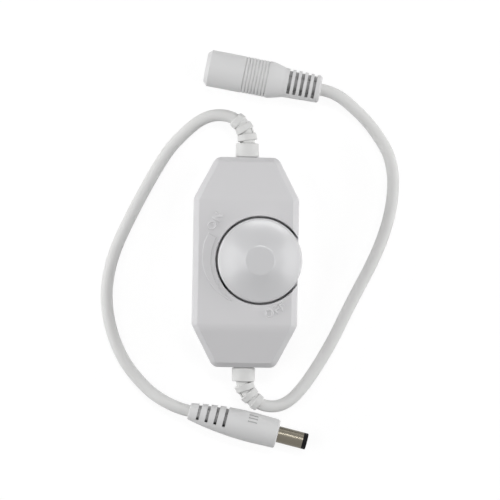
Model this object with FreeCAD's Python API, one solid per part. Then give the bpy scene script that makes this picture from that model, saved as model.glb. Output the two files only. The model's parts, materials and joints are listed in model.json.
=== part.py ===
"""Rotary dimmer in the cord of a low-voltage light strip.

The origin is the centre of the housing's base. X runs across the housing, Y along it, towards
the output cord, and Z up through the knob. All sizes are in millimetres and degrees.
"""
import FreeCAD, Part
import math
import os

Vec = FreeCAD.Vector
UP = Vec(0, 0, 1)

# How far a cutter runs past the face it cuts, and how deep joined shapes reach into each other
past = 1.0
overlap = 0.5
same = 0.01

# Housing
case_length = 69.8
case_width = 35.1
end_flat = 20.6
side_flat = 42.0
wall = 1.8
parting_height = 7.0
roof_height = 18.6
roof_flat = 42.6
end_height = 12.8
side_draft = 2.5
corner_radius = 3.0
crease_radius = 8.0
rim_chamfer = 1.6
rim_round = 0.6
foot_radius = 0.8
lip_height = 1.4
lip_thickness = 0.8
lip_clearance = 0.1
steep_tilt = 0.2
level_tilt = 0.85

# Knob and the well it turns in
knob_x = 4.8
knob_y = 0.75
knob_radius = 13.87
knob_gap = 0.75
knob_floor_gap = 0.5
knob_rim_rise = 1.7
knob_cap_rise = 5.0
knob_cap_radius = 4.85
knob_dish = 0.35
knob_rim_round = 0.9
knob_cap_round = 1.6
knob_skin = 1.6
knob_hub_radius = 4.5
knob_rib = 1.2
knob_rib_count = 4
knob_rib_turn = 45.0
knob_rib_gap = 1.0
knob_cap_skin = 2.4
well_floor = 1.6
well_wall = 1.6
well_chamfer = 0.3

# Raised wedge beside the knob, wide at the bright end
wedge_radius = 16.1
wedge_width = 3.1
wedge_tip = 0.3
wedge_rise = 0.3
wedge_from = 153.0
wedge_to = 236.0
wedge_fullness = 0.7

# Screws that close the housing from below
screw_x = -9.2
screw_end_gap = 8.9
screw_head_radius = 2.4
screw_head_height = 1.7
screw_radius = 1.1
screw_length = 9.6
screw_recess = 3.0
screw_slot = 0.7
screw_slot_reach = 1.7
screw_head_gap = 0.3
screw_hole_gap = 0.3
screw_pilot_gap = 0.03
screw_end_room = 0.5
pillar_wall = 1.5

# Circuit board and the posts that hold it
board_end_gap = 11.1
board_side_gap = 2.25
board_height = 4.4
board_thickness = 1.6
board_corner = 1.5
board_pin_side = 2.5
board_pin_end = 4.5
board_pin_radius = 0.9
board_pin_rise = 0.5
board_pin_gap = 0.1
board_post_radius = 2.0
board_hold_gap = 0.1

# Potentiometer
pot_width = 9.5
pot_length = 11.0
pot_base_height = 1.2
pot_case_height = 4.0
pot_skin = 0.4
pot_leg_width = 2.0
pot_leg_thickness = 0.5
pot_leg_gap = 0.15
pot_edge = 0.4
pot_well_gap = 0.2
pot_pin_radius = 0.45
pot_pin_spacing = 2.5
pot_pin_y = -4.4
pot_pin_gap = 0.1
lead_reach = 0.8
shaft_radius = 3.0
shaft_clearance = 0.05
shaft_flat = 1.5
shaft_flat_length = 4.8
shaft_push_gap = 0.03
shaft_end_gap = 0.2
shaft_drop = 3.4
rotor_radius = 3.9
rotor_gap = 0.12
bushing_radius = 3.5
bushing_height = 3.4
bushing_gap = 0.2
hub_gap = 0.3
track_inner = 2.4
track_outer = 3.7
track_height = 0.12
track_margin = 14.0
wiper_height = 0.2
wiper_drop = 0.3
wiper_gap = 0.06
wiper_finger = 1.0
off_angle = -60.0
turn_range = 300.0

# Parts on the board: a lane along its left edge, one end for the capacitor, the rest beside the pot
lane_edge = 6.5
transistor_size = (6.6, 6.1, 2.3)
transistor_y = -7.3
transistor_tab = (5.3, 1.3, 0.5)
transistor_lead = (0.8, 1.6, 0.5)
transistor_lead_spacing = 4.56
timer_size = (3.9, 4.9, 1.4)
timer_y = 3.5
timer_stand = 0.15
timer_lead_spacing = 1.27
timer_lead_width = 0.42
timer_lead_reach = 1.0
timer_lead_thickness = 0.2
timer_lead_bend = 0.45
capacitor_radius = 3.15
capacitor_gap = 0.4
capacitor_groove = 0.25
capacitor_groove_low = 0.7
capacitor_lane = 1.8
capacitor_end = 4.4
capacitor_round = 0.4
capacitor_lead_radius = 0.3
capacitor_lead_spacing = 2.5
capacitor_lead_gap = 0.1
chip_resistor_size = (2.0, 1.25, 0.5)
chip_resistor_lanes = ((-3.6, 7.2), (0.0, 7.2), (3.6, 7.2), (5.2, -9.4), (5.2, -11.6))
chip_capacitor_size = (1.25, 2.0, 0.9)
chip_capacitor_lanes = ((-4.2, 3.0), (1.5, -1.0))
chip_capacitor_beside = (-1.4, 7.6)
diode_size = (4.3, 2.6, 2.0)
diode_beside = (0.4, -8.6)
diode_contact = 0.35
diode_contact_share = 0.6

# Wires inside the housing
wire_radius = 0.65
wire_spread = 0.9
wire_pad_x = (2.2, 5.4)
wire_pad_end = 2.0
wire_pad_lead = 2.9
wire_lift = 3.2
wire_straight = 7.6
solder_radius = 1.2
solder_height = 0.9

# Cords
cord_radius = 2.0
cord_end_gap = 0.3
arc_share = 0.45

# Bend relief at each end of the housing, slotted in turn at its sides and at its top
relief_collar_radius = 3.85
relief_collar_length = 4.5
relief_ring_radius = 3.4
relief_tip_radius = 2.7
relief_ring = 2.3
relief_slot = 0.9
relief_ring_count = 3
relief_core_radius = 2.5
relief_side_rib = 1.4
relief_top_slot = 2.1
relief_neck_radius = 3.1
relief_neck_gap = 0.05
relief_flange_radius = 4.2
relief_flange = 1.5
relief_seat_gap = 0.1
relief_flange_gap = 0.3
relief_bore_gap = 0.04
relief_edge = 0.25
relief_root = 4.9
relief_web_drop = 0.45
relief_web_overlap = 0.7

# Plug on the output cord
plug_place = (-17.88, -49.84)
plug_angle = -13.6
plug_length = 30.4
plug_radius = 5.05
plug_front_radius = 4.85
plug_rear_radius = 2.75
plug_tail_radius = 4.15
plug_tail_length = 8.0
plug_flare_length = 22.0
plug_edge = 0.8
plug_rear_edge = 0.4
plug_slot_first = 3.3
plug_slot_pitch = 3.0
plug_slot_count = 4
plug_slot = 0.95
plug_slot_reach = 2.0
tail_core_radius = 2.3
tail_web = 1.2
tail_web_edge = 0.6
grip_groove_count = 3
grip_groove_length = 3.0
grip_groove_width = 0.45
grip_groove_depth = 0.25
grip_groove_step = 15.0
grip_groove_angle = 52.0
grip_start = 19.8
barrel_radius = 2.75
barrel_wall = 0.35
barrel_length = 10.1
barrel_anchor = 6.0
barrel_step = 0.25
barrel_shoulder_gap = 0.15
tip_length = 1.5
tip_round = 0.35
tip_recess = 0.5
pin_bore_radius = 1.05
pin_bore_depth = 9.4
pin_contact_wall = 0.3
metal_gap = 0.02

# Jack on the input cord
jack_place = (-14.28, 64.65)
jack_angle = -10.0
jack_length = 38.9
jack_radius = 6.1
jack_edge = 1.3
jack_body_length = 22.0
jack_shoulder_length = 4.5
jack_shoulder_bulge = 0.1
jack_tail_radius = 4.9
jack_end_radius = 4.55
jack_end_round = 1.1
jack_groove_first = 13.05
jack_groove_pitch = 1.08
jack_groove_count = 8
jack_groove_width = 0.56
jack_groove_depth = 0.28
jack_groove_floor = 0.1
jack_slot_first = 28.3
jack_slot_pitch = 2.07
jack_slot_count = 5
jack_slot = 1.0
jack_slot_reach = 3.6
socket_radius = 3.15
socket_depth = 9.8
socket_lip = 0.8
insert_radius = 4.3
insert_back = 2.0
centre_pin_radius = 1.0
centre_pin_recess = 1.2
centre_pin_round = 0.5
centre_pin_root = 0.8
centre_pin_shoulder_gap = 0.15
spring_width = 2.0
spring_thickness = 0.25
spring_start = 2.5
spring_reach = 2.85
spring_slack = 0.1

# Cords: the first bends are measured from where the cord starts in the housing's end wall
output_near = ((0.0, 9.0, 7.0), (-5.3, 14.3, 7.0), (-14.3, 14.1, 5.2))
output_far = ((-22.9, 41.1, 3.4), (-28.0, 34.8, 2.05), (-37.2, 17.8, 2.05), (-45.2, 0.1, 2.05),
              (-46.7, -15.3, 2.05), (-42.1, -30.9, 2.05), (-33.5, -42.1, 2.05), (-24.0, -48.35, 5.05))
input_near = ((0.0, 7.3, 7.0), (5.9, 13.3, 7.0), (14.1, 13.0, 5.2))
input_far = ((21.2, -39.9, 3.4), (29.1, -26.7, 2.05), (35.4, -13.0, 2.05), (44.3, 4.2, 2.05),
             (48.9, 19.5, 2.05), (48.9, 34.3, 2.05), (42.3, 45.2, 2.05), (35.1, 52.3, 4.2))
jack_straight = 4.5


# Small shapes
def slab(low_x, high_x, low_y, high_y, low_z, high_z):
    size = (high_x - low_x, high_y - low_y, high_z - low_z)
    return Part.makeBox(*size, Vec(low_x, low_y, low_z))


def block(place, size, low):
    """Upright box centred on a place of the board."""
    (x, y), (length, width, height) = place, size
    return slab(x - length / 2, x + length / 2, y - width / 2, y + width / 2, low, low + height)


def rod(radius, low, high, x=0.0, y=0.0):
    return Part.makeCylinder(radius, high - low, Vec(x, y, low))


def turned(points):
    """Body of revolution about Z from its half section of (radius, height) points."""
    corners = [Vec(radius, 0, height) for radius, height in points]
    face = Part.Face(Part.makePolygon(corners + corners[:1]))
    return face.revolve(Vec(0, 0, 0), UP, 360)


def rims(solid, radius, height):
    """Circular edges about Z of this radius at this height."""
    found = []
    for edge in solid.Edges:
        curve = edge.Curve
        if isinstance(curve, Part.Circle) and abs(curve.Radius - radius) < same:
            if abs(curve.Center.z - height) < same:
                found.append(edge)
    return found


def joined(solids):
    return solids[0].fuse(solids[1:]).removeSplitter()


def without(solid, cutters):
    return solid.cut(cutters)


def half_turn(shape):
    """Copy turned by 180 degrees about the housing's centre."""
    copy = shape.copy()
    copy.rotate(Vec(0, 0, 0), UP, 180)
    return copy


def placed(shape, origin, rotation):
    copy = shape.copy()
    copy.Placement = FreeCAD.Placement(origin, rotation).multiply(copy.Placement)
    return copy


def laid(shape, origin, along):
    """Copy of a shape made along +Z, laid so that its Z runs along a level direction and its Y up."""
    return placed(shape, origin, FreeCAD.Rotation(UP.cross(along), UP, along, "ZYX"))


def heading(angle):
    return Vec(math.cos(math.radians(angle)), math.sin(math.radians(angle)), 0)


def one_solid(shape):
    """The single solid that a boolean left in its compound."""
    if len(shape.Solids) != 1:
        raise ValueError("expected one solid, found %d" % len(shape.Solids))
    return shape.Solids[0]


# Outline of the housing
draft_slope = math.tan(math.radians(side_draft))
half_width = case_width / 2
half_length = case_length / 2
roof_slope = (roof_height - end_height) / (half_length - roof_flat / 2)
board_width = case_width - 2 * (wall + board_side_gap)
board_length = case_length - 2 * (wall + board_end_gap)


def outline(inset):
    """Eight corners of the housing's plan, moved inwards by an inset."""
    run_x = half_width - end_flat / 2
    run_y = half_length - side_flat / 2
    size = math.hypot(run_x, run_y)
    normal_x, normal_y = run_y / size, run_x / size
    reach = normal_x * half_width + normal_y * side_flat / 2 - inset
    x, y = half_width - inset, half_length - inset
    side_y = (reach - normal_x * x) / normal_y
    end_x = (reach - normal_y * y) / normal_x
    return [(x, -side_y), (x, side_y), (end_x, y), (-end_x, y), (-x, side_y), (-x, -side_y),
            (-end_x, -y), (end_x, -y)]


def plan_block(low_inset, low, high_inset, high, radius):
    """Closed block between two insets of the housing's outline, with rounded upright corners."""
    slope = (high_inset - low_inset) / (high - low)
    bottom = [Vec(x, y, low - past) for x, y in outline(low_inset - slope * past)]
    top = [Vec(x, y, high + past) for x, y in outline(high_inset + slope * past)]
    count = len(bottom)
    faces = [Part.Face(Part.makePolygon(ring + ring[:1])) for ring in (bottom, top)]
    for i in range(count):
        j = (i + 1) % count
        corners = [bottom[i], bottom[j], top[j], top[i], bottom[i]]
        faces.append(Part.Face(Part.makePolygon(corners)))
    shell = Part.Shell(faces)
    shell.sewShape()
    room = slab(-case_length, case_length, -case_length, case_length, low, high)
    solid = one_solid(Part.Solid(shell).common(room))
    upright = [edge for edge in solid.Edges if edge.BoundBox.ZLength > (high - low) / 2]
    return one_solid(solid.makeFillet(radius, upright))


def roof_block(drop):
    """Prism under the roof's two slopes and flat, lowered by a drop measured square to each."""
    steep = math.hypot(1, roof_slope)
    crease = roof_flat / 2 - drop * (steep - 1) / roof_slope
    top = roof_height - drop
    far = case_length
    far_height = top - (far - crease) * roof_slope
    side = [(-far, far_height - past), (-far, far_height), (-crease, top), (crease, top),
            (far, far_height), (far, far_height - past), (0, -far)]
    corners = [Vec(-case_width, y, z) for y, z in side]
    prism = Part.Face(Part.makePolygon(corners + corners[:1])).extrude(Vec(2 * case_width, 0, 0))
    creases = []
    for edge in prism.Edges:
        middle = edge.CenterOfMass
        if abs(abs(middle.y) - crease) < same and abs(middle.z - top) < same:
            creases.append(edge)
    return prism.makeFillet(crease_radius, creases)


def tilt(face):
    """Height component of a face's outward normal at the middle of its parameters."""
    low_u, high_u, low_v, high_v = face.ParameterRange
    return face.normalAt((low_u + high_u) / 2, (low_v + high_v) / 2).z


def roof_rim(solid):
    """Edges where the side walls meet the roof."""
    found = []
    for edge in solid.Edges:
        slopes = [tilt(face) for face in solid.ancestorsOfType(edge, Part.Face)]
        if abs(min(slopes)) < steep_tilt and max(slopes) > level_tilt:
            found.append(edge)
    return found


def bevel_edges(solid):
    """Edges that bound the bevel between the side walls and the roof."""
    found = []
    for edge in solid.Edges:
        slopes = [tilt(face) for face in solid.ancestorsOfType(edge, Part.Face)]
        if steep_tilt < min(slopes) < level_tilt < max(slopes):
            found.append(edge)
        if min(slopes) < steep_tilt < max(slopes) < level_tilt:
            found.append(edge)
    return found


def upper_body():
    """Outside of the upper shell as a closed body."""
    tall = roof_height - parting_height + past
    sides = plan_block(0, parting_height, draft_slope * tall, parting_height + tall, corner_radius)
    body = one_solid(sides.common(roof_block(0)))
    body = one_solid(body.makeChamfer(rim_chamfer, roof_rim(body)))
    return one_solid(body.makeFillet(rim_round, bevel_edges(body)))


def upper_cavity():
    tall = roof_height - parting_height + past
    inset = wall + draft_slope * tall
    sides = plan_block(wall, parting_height - past, inset, parting_height + tall, corner_radius - wall)
    return one_solid(sides.common(roof_block(wall)))


# Heights and places that the pieces share
knob_axis = Vec(knob_x, knob_y, 0)
board_top = board_height + board_thickness
pot_bottom = board_top + pot_base_height
pot_top = pot_bottom + pot_case_height
bushing_top = pot_top + bushing_height
wiper_bottom = pot_bottom + track_height + wiper_gap
rotor_bottom = wiper_bottom + wiper_drop + wiper_height
rotor_top = pot_top - pot_skin - rotor_gap
well_radius = knob_radius + knob_gap
well_under = pot_top + pot_well_gap
well_bottom = well_under + well_floor
knob_bottom = well_bottom + knob_floor_gap
knob_rim_top = roof_height + knob_rim_rise
knob_top = roof_height + knob_cap_rise
shaft_top = knob_top - shaft_drop
screw_y = half_length - screw_end_gap
screw_places = ((screw_x, screw_y), (-screw_x, -screw_y))
board_pin_x = board_width / 2 - board_pin_side
board_pin_y = board_length / 2 - board_pin_end
board_pin_places = [(x, y) for x in (-board_pin_x, board_pin_x) for y in (-board_pin_y, board_pin_y)]
pillar_radius = screw_head_radius + screw_head_gap + pillar_wall / 2
boss_radius = screw_radius + pillar_wall
lane_x = lane_edge - board_width / 2
transistor_place = (lane_x, transistor_y)
timer_place = (lane_x, timer_y)
capacitor_place = (lane_x + capacitor_lane, board_length / 2 - capacitor_end)
capacitor_height = well_under - board_top - capacitor_gap
chip_resistor_places = [(lane_x + x, y) for x, y in chip_resistor_lanes]
chip_capacitor_places = [(lane_x + x, y) for x, y in chip_capacitor_lanes]
chip_capacitor_places.append((knob_x + chip_capacitor_beside[0], knob_y + chip_capacitor_beside[1]))
diode_place = (knob_x + diode_beside[0], knob_y + diode_beside[1])
wire_pad_y = board_length / 2 - wire_pad_end
cord_end = half_length - cord_end_gap
relief_start = half_length - relief_root
plug_rear = Vec(*plug_place, plug_radius)
jack_face = Vec(*jack_place, jack_radius)


def wedge():
    """Raised wedge on the roof, bounded by two arcs that draw together."""
    def at(angle, radius):
        return knob_axis + heading(angle) * radius + Vec(0, 0, roof_height - wedge_rise)

    middle = (wedge_from + wedge_to) / 2
    wide = wedge_radius + wedge_width
    inner = Part.Arc(at(wedge_from, wedge_radius), at(middle, wedge_radius), at(wedge_to, wedge_radius))
    halfway = wedge_radius + (wedge_width + wedge_tip) * wedge_fullness
    outer = Part.Arc(at(wedge_to, wedge_radius + wedge_tip), at(middle, halfway), at(wedge_from, wide))
    ends = [Part.LineSegment(at(wedge_to, wedge_radius), at(wedge_to, wedge_radius + wedge_tip)),
            Part.LineSegment(at(wedge_from, wide), at(wedge_from, wedge_radius))]
    edges = [inner.toShape(), ends[0].toShape(), outer.toShape(), ends[1].toShape()]
    return Part.Face(Part.Wire(edges)).extrude(Vec(0, 0, 2 * wedge_rise))


def neck_hole():
    """Round hole through both end walls for the necks of the reliefs."""
    radius = relief_neck_radius + relief_neck_gap
    return Part.makeCylinder(radius, 2 * case_length, Vec(0, -case_length, parting_height), Vec(0, 1, 0))


def upper_shell():
    body = upper_body()
    tub = rod(well_radius + well_wall, well_under, roof_height, knob_x, knob_y)
    bosses = [rod(boss_radius, parting_height, roof_height, x, y) for x, y in screw_places]
    holds = [rod(board_post_radius, board_top + board_hold_gap, roof_height, x, y)
             for x, y in board_pin_places]
    inside = [one_solid(shape.common(body)) for shape in [tub] + bosses + holds]
    shell = joined([without(body, [upper_cavity()])] + inside + [wedge()])
    rebate_inset = wall - lip_thickness - lip_clearance
    rebate = plan_block(rebate_inset, parting_height - past, rebate_inset,
                        parting_height + lip_height + lip_clearance, corner_radius - rebate_inset)
    kept = [rod(boss_radius, parting_height, roof_height, x, y) for x, y in screw_places]
    rebate = without(rebate, kept)
    well = rod(well_radius, well_bottom, knob_top, knob_x, knob_y)
    chamfer = Part.makeCone(well_radius, well_radius + 2 * well_chamfer, 2 * well_chamfer,
                            knob_axis + Vec(0, 0, roof_height - well_chamfer))
    shaft_hole = rod(bushing_radius + bushing_gap, well_under - past, well_bottom + past, knob_x, knob_y)
    pilots = [rod(screw_radius + screw_pilot_gap, parting_height - past,
                  screw_recess + screw_length + screw_end_room, x, y) for x, y in screw_places]
    sockets = [rod(board_pin_radius + board_pin_gap, board_top,
                   board_top + board_pin_rise + board_pin_gap, x, y) for x, y in board_pin_places]
    cutters = [rebate, well, chamfer, shaft_hole, neck_hole()] + pilots + sockets
    return one_solid(without(shell, cutters))


def lower_shell():
    low_inset = draft_slope * parting_height
    body = plan_block(low_inset, 0, 0, parting_height, corner_radius)
    foot = [edge for edge in body.Edges if edge.BoundBox.ZMax < same]
    body = body.makeFillet(foot_radius, foot)
    cavity = plan_block(wall + low_inset, wall, wall, parting_height + past, corner_radius - wall)
    lip = without(
        plan_block(wall - lip_thickness, parting_height - past, wall - lip_thickness,
                   parting_height + lip_height, corner_radius - wall + lip_thickness),
        [plan_block(wall, parting_height - 2 * past, wall, parting_height + 2 * lip_height,
                    corner_radius - wall)])
    pillars = [rod(pillar_radius, wall / 2, parting_height, x, y) for x, y in screw_places]
    posts = [rod(board_post_radius, wall / 2, board_height, x, y) for x, y in board_pin_places]
    pins = [rod(board_pin_radius, wall, board_top + board_pin_rise, x, y) for x, y in board_pin_places]
    shell = joined([without(body, [cavity]), lip] + pillars + posts + pins)
    heads = [rod(screw_head_radius + screw_head_gap, -past, screw_recess, x, y) for x, y in screw_places]
    shanks = [rod(screw_radius + screw_hole_gap, -past, parting_height + past, x, y)
              for x, y in screw_places]
    return one_solid(without(shell, heads + shanks + [neck_hole()]))


def housing_screw(place):
    """Pan-head screw seated upwards in its recess, with a cross slot in the head."""
    x, y = place
    low = screw_recess - screw_head_height
    head = rod(screw_head_radius, low, screw_recess)
    head = head.makeFillet(screw_head_height / 2, rims(head, screw_head_radius, low))
    screw = joined([head, rod(screw_radius, screw_recess - overlap, screw_recess + screw_length)])
    slot_top = low + screw_head_height / 2
    reach = screw_slot_reach
    slots = [slab(-reach, reach, -screw_slot / 2, screw_slot / 2, low - past, slot_top),
             slab(-screw_slot / 2, screw_slot / 2, -reach, reach, low - past, slot_top)]
    screw = one_solid(without(screw, slots))
    screw.translate(Vec(x, y, 0))
    return screw


# Knob and the turning pieces of the potentiometer
def knob():
    rim = Vec(knob_radius, 0, knob_rim_top)
    cap = Vec(knob_cap_radius, 0, knob_top)
    dip = (rim + cap) * 0.5 - Vec(knob_dish / 2, 0, knob_dish)
    base = Vec(knob_radius, 0, knob_bottom)
    edges = [
        Part.LineSegment(Vec(0, 0, knob_bottom), base).toShape(),
        Part.LineSegment(base, rim).toShape(),
        Part.Arc(rim, dip, cap).toShape(),
        Part.LineSegment(cap, Vec(0, 0, knob_top)).toShape(),
        Part.LineSegment(Vec(0, 0, knob_top), Vec(0, 0, knob_bottom)).toShape(),
    ]
    body = Part.Face(Part.Wire(edges)).revolve(Vec(0, 0, 0), UP, 360)
    body = body.makeFillet(knob_rim_round, rims(body, knob_radius, knob_rim_top))
    body = body.makeFillet(knob_cap_round, rims(body, knob_cap_radius, knob_top))
    inner = knob_radius - knob_skin
    hollow = turned([(knob_hub_radius, knob_bottom - past), (inner, knob_bottom - past),
                     (inner, knob_rim_top - knob_skin), (knob_hub_radius, knob_top - knob_cap_skin)])
    under_hub = rod(knob_hub_radius, knob_bottom - past, bushing_top + hub_gap)
    ribs = []
    for i in range(knob_rib_count):
        rib = slab(knob_hub_radius - overlap, inner + overlap, -knob_rib / 2, knob_rib / 2,
                   bushing_top + knob_rib_gap, knob_rim_top)
        rib.rotate(Vec(0, 0, 0), UP, i * 360 / knob_rib_count + knob_rib_turn)
        ribs.append(one_solid(rib.common(body)))
    flat = shaft_flat + shaft_push_gap
    bore = rod(shaft_radius + shaft_push_gap, knob_bottom, shaft_top + shaft_end_gap)
    key = slab(flat, shaft_radius + past, -shaft_radius, shaft_radius,
               shaft_top - shaft_flat_length + shaft_end_gap, shaft_top + past)
    body = joined([without(body, [hollow, under_hub])] + ribs)
    body = one_solid(without(body, [without(bore, [key])]))
    body.translate(knob_axis)
    return body


def pot_shaft():
    """Rotor and shaft in one piece, with a flat for the knob."""
    shaft = joined([rod(shaft_radius, rotor_bottom, shaft_top),
                    rod(rotor_radius, rotor_bottom, rotor_top)])
    shaft = shaft.makeChamfer(pot_edge, rims(shaft, shaft_radius, shaft_top))
    flat = slab(shaft_flat, shaft_radius + past, -shaft_radius, shaft_radius,
                shaft_top - shaft_flat_length, shaft_top + past)
    shaft = one_solid(without(shaft, [flat]))
    shaft.translate(knob_axis)
    return shaft


def wiper():
    """Contact ring under the rotor, with a finger that runs on the track."""
    ring_bottom = rotor_bottom - wiper_height
    ring = turned([(shaft_radius / 2, ring_bottom), (track_outer, ring_bottom),
                   (track_outer, rotor_bottom), (shaft_radius / 2, rotor_bottom)])
    finger = slab(track_inner, track_outer, -wiper_finger / 2, wiper_finger / 2, wiper_bottom,
                  rotor_bottom - wiper_height / 2)
    finger = one_solid(finger.common(rod(track_outer, wiper_bottom, rotor_bottom)))
    finger.rotate(Vec(0, 0, 0), UP, off_angle)
    contact = joined([ring, finger])
    contact.translate(knob_axis)
    return contact


# Fixed pieces of the potentiometer
def pot_base():
    return block((knob_x, knob_y), (pot_width, pot_length, pot_base_height), board_top)


def resistive_track():
    """Open ring under the wiper's travel, with a margin past each stop."""
    sweep = turn_range + 2 * track_margin
    section = slab(track_inner, track_outer, 0, 0.001, 0, track_height).Faces
    flat = [face for face in section if abs(face.normalAt(0, 0).y) > 0.5][0]
    flat.translate(Vec(0, 0, pot_bottom))
    ring = flat.revolve(Vec(0, 0, 0), UP, -sweep)
    ring.rotate(Vec(0, 0, 0), UP, off_angle + track_margin)
    ring.translate(knob_axis)
    return ring


def pot_legs(grown):
    """Mounting legs on both sides of the casing, or their slots when grown."""
    middle = pot_width / 2 + pot_leg_thickness / 2
    size = (pot_leg_thickness + 2 * grown, pot_leg_width + 2 * grown, pot_top - board_height + lead_reach)
    return [block((knob_x + side * middle, knob_y), size, board_height - lead_reach) for side in (-1, 1)]


def pot_casing():
    casing = block((knob_x, knob_y), (pot_width, pot_length, pot_case_height), pot_bottom)
    inside = (pot_width - 2 * pot_skin, pot_length - 2 * pot_skin, pot_case_height - pot_skin)
    hollow = block((knob_x, knob_y), inside, pot_bottom)
    hole = rod(shaft_radius + shaft_clearance, pot_bottom, pot_top + past, knob_x, knob_y)
    legs = pot_legs(0)
    return one_solid(without(joined([casing] + legs), [hollow, hole]))


def pot_bushing():
    sleeve = rod(bushing_radius, pot_top, bushing_top)
    sleeve = sleeve.makeChamfer(pot_edge, rims(sleeve, bushing_radius, bushing_top))
    bore = rod(shaft_radius + shaft_clearance, pot_top - past, bushing_top + past)
    sleeve = one_solid(without(sleeve, [bore]))
    sleeve.translate(knob_axis)
    return sleeve


def pot_pins(radius, high):
    places = [(knob_x + i * pot_pin_spacing, knob_y + pot_pin_y) for i in (-1, 0, 1)]
    return [rod(radius, board_height - lead_reach, high, x, y) for x, y in places]


def capacitor_leads(radius):
    x, y = capacitor_place
    half = capacitor_lead_spacing / 2
    return [rod(radius, board_height - lead_reach, board_top, x + side * half, y) for side in (-1, 1)]


def circuit_board():
    board = block((0, 0), (board_width, board_length, board_thickness), board_height)
    upright = [edge for edge in board.Edges if edge.BoundBox.ZLength > board_thickness / 2]
    board = board.makeFillet(board_corner, upright)
    pins = [rod(board_pin_radius + board_pin_gap, 0, roof_height, x, y) for x, y in board_pin_places]
    cutters = pins + pot_legs(pot_leg_gap) + pot_pins(pot_pin_radius + pot_pin_gap, roof_height)
    cutters += capacitor_leads(capacitor_lead_radius + capacitor_lead_gap)
    return one_solid(without(board, cutters))


# Parts soldered to the board
def transistor_body():
    return block(transistor_place, transistor_size, board_top)


def transistor_metal():
    """Tab at one end of the body and two leads at the other."""
    x, y = transistor_place
    reach = transistor_size[1] / 2
    tab = block((x, y + reach + transistor_tab[1] / 2), transistor_tab, board_top)
    leads = [block((x + side * transistor_lead_spacing / 2, y - reach - transistor_lead[1] / 2),
                   transistor_lead, board_top) for side in (-1, 1)]
    return [tab] + leads


def timer_body():
    return block(timer_place, timer_size, board_top + timer_stand)


def timer_lead(side, index):
    """Gull-wing lead from the body's side down to the board."""
    x = timer_size[0] / 2
    thick = timer_lead_thickness
    high = timer_stand + timer_size[2] / 2
    bend = x + timer_lead_reach * timer_lead_bend
    end = x + timer_lead_reach
    section = [(x, high), (bend + thick, high), (bend + thick, thick), (end, thick), (end, 0), (bend, 0),
               (bend, high - thick), (x, high - thick)]
    low_y = (index - 1.5) * timer_lead_spacing - timer_lead_width / 2
    corners = [Vec(px, low_y, pz) for px, pz in section]
    lead = Part.Face(Part.makePolygon(corners + corners[:1])).extrude(Vec(0, timer_lead_width, 0))
    if side < 0:
        lead.rotate(Vec(0, 0, 0), UP, 180)
    lead.translate(Vec(timer_place[0], timer_place[1], board_top))
    return lead


def capacitor():
    """Can with a rolled groove near its foot."""
    x, y = capacitor_place
    groove_low = board_top + capacitor_groove_low
    groove_high = groove_low + 3 * capacitor_groove
    middle = (groove_low + groove_high) / 2
    top = board_top + capacitor_height
    can = turned([(0, board_top), (capacitor_radius, board_top), (capacitor_radius, groove_low),
                  (capacitor_radius - capacitor_groove, middle), (capacitor_radius, groove_high),
                  (capacitor_radius, top), (0, top)])
    can = can.makeFillet(capacitor_round, rims(can, capacitor_radius, top))
    can.translate(Vec(x, y, 0))
    return can


def diode_body():
    return block(diode_place, diode_size, board_top)


def diode_contacts():
    (x, y), (length, width, height) = diode_place, diode_size
    size = (diode_contact, width * diode_contact_share, height * diode_contact_share)
    middle = length / 2 + diode_contact / 2
    return [block((x + side * middle, y), size, board_top) for side in (-1, 1)]


def solder_joint(x, y):
    return Part.makeCone(solder_radius, wire_radius, solder_height, Vec(x, y, board_top))


# Cords, wires and the bend reliefs that follow them
def route_edges(points):
    """Straight runs joined by tangent arcs, each as large as its two runs allow."""
    edges = []
    start = points[0]
    for before, corner, after in zip(points, points[1:], points[2:]):
        back = before - corner
        ahead = after - corner
        reach = arc_share * min(back.Length, ahead.Length)
        turn = math.pi - back.getAngle(ahead)
        radius = reach / math.tan(turn / 2)
        back.normalize()
        ahead.normalize()
        inwards = back + ahead
        inwards.normalize()
        middle = corner + inwards * (radius / math.cos(turn / 2) - radius)
        first = corner + back * reach
        last = corner + ahead * reach
        edges.append(Part.LineSegment(start, first).toShape())
        edges.append(Part.Arc(first, middle, last).toShape())
        start = last
    edges.append(Part.LineSegment(start, points[-1]).toShape())
    return edges


def bend_radii(points):
    return [edge.Curve.Radius for edge in route_edges(points)[1::2]]


def stretch(edges, start, end):
    """Part of a route between two distances along it."""
    found = []
    passed = 0.0
    for edge in edges:
        low = max(start - passed, 0)
        high = min(end - passed, edge.Length)
        if high - low > 1e-6:
            found.append(edge.Curve.toShape(edge.getParameterByLength(low), edge.getParameterByLength(high)))
        passed += edge.Length
    return found


def point_along(edges, distance):
    """Place and direction at a distance along a route."""
    passed = 0.0
    for edge in edges:
        if distance <= passed + edge.Length:
            break
        passed += edge.Length
    value = edge.getParameterByLength(min(distance - passed, edge.Length))
    return edge.valueAt(value), edge.tangentAt(value)


def tube(edges, radius):
    first = edges[0]
    start = first.valueAt(first.FirstParameter)
    direction = first.tangentAt(first.FirstParameter)
    section = Part.Face(Part.Wire(Part.Circle(start, direction, radius).toShape()))
    return Part.Wire(edges).makePipe(section)


def on_route(shape, edges, distance):
    """Copy of a shape made about the origin along +Z, set across a route at a distance."""
    place, along = point_along(edges, distance)
    side = UP.cross(along)
    return placed(shape, place, FreeCAD.Rotation(side, UP, along, "ZXY"))


def relief_ring_shape(length, low_radius, high_radius):
    """Tapered ring about the origin, with small chamfers on its outer edges."""
    half = length / 2
    return turned([(0, -half), (low_radius - relief_edge, -half), (low_radius, relief_edge - half),
                   (high_radius, half - relief_edge), (high_radius - relief_edge, half), (0, half)])


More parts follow.
